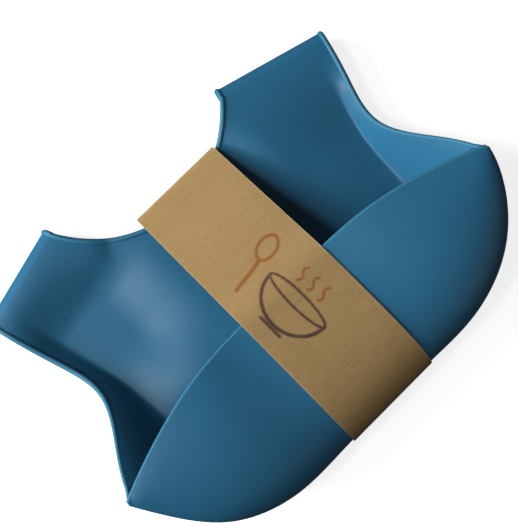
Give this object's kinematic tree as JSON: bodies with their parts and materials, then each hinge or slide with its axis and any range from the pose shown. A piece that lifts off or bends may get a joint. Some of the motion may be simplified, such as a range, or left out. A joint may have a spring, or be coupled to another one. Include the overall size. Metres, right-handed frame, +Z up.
{
  "type": "baby bib",
  "caption": "Soft silicone baby bib with a deep catch pocket and neck straps folded behind it, wrapped in a plain brown card sleeve.",
  "frame": {"origin": "middle of the bounding box, on the surface the bib lies on", "axes": "+Z up off the bib's back, +Y from the pocket toward the neck, +X across the bib toward the strap with the studs"},
  "size_m": [0.2241, 0.1727, 0.042],
  "materials": {
    "silicone": "matte",
    "card": "matte",
    "glue": "satin"
  },
  "bodies": {
    "bib": {"bib_panel": "silicone", "catch_pocket": "silicone"},
    "left_fold": {"left_fold": "silicone"},
    "left_strap": {"left_strap": "silicone"},
    "right_fold": {"right_fold": "silicone"},
    "right_strap": {"right_strap": "silicone", "stud_1": "silicone", "stud_2": "silicone", "stud_3": "silicone"},
    "sleeve": {"card_sleeve": "card", "sleeve_glue": "glue"}
  },
  "joints": [
    {"name": "left_fold_root", "type": "hinge", "parent": "bib", "child": "left_fold", "pos_m": [-0.0824, 0.07823, 0.01039], "axis": [0.9639, 0.2662, 0], "range_deg": [0, 90]},
    {"name": "left_strap_fold", "type": "hinge", "parent": "left_fold", "child": "left_strap", "pos_m": [-0.0824, 0.07823, 0.00261], "axis": [0.9639, 0.2662, 0], "range_deg": [0, 90]},
    {"name": "right_fold_root", "type": "hinge", "parent": "bib", "child": "right_fold", "pos_m": [0.07559, 0.06888, 0.01039], "axis": [0.9671, -0.2544, 0], "range_deg": [0, 90]},
    {"name": "right_strap_fold", "type": "hinge", "parent": "right_fold", "child": "right_strap", "pos_m": [0.07559, 0.06888, 0.00261], "axis": [0.9671, -0.2544, 0], "range_deg": [0, 90]},
    {"name": "sleeve_slip", "type": "slide", "parent": "bib", "child": "sleeve", "axis": [1, 0, 0], "range_m": [-0.0015, 0.0015]}
  ],
  "couplings": [
    {"joint": "left_fold_root", "follows": "left_strap_fold", "ratio": 1},
    {"joint": "right_fold_root", "follows": "right_strap_fold", "ratio": 1}
  ]
}
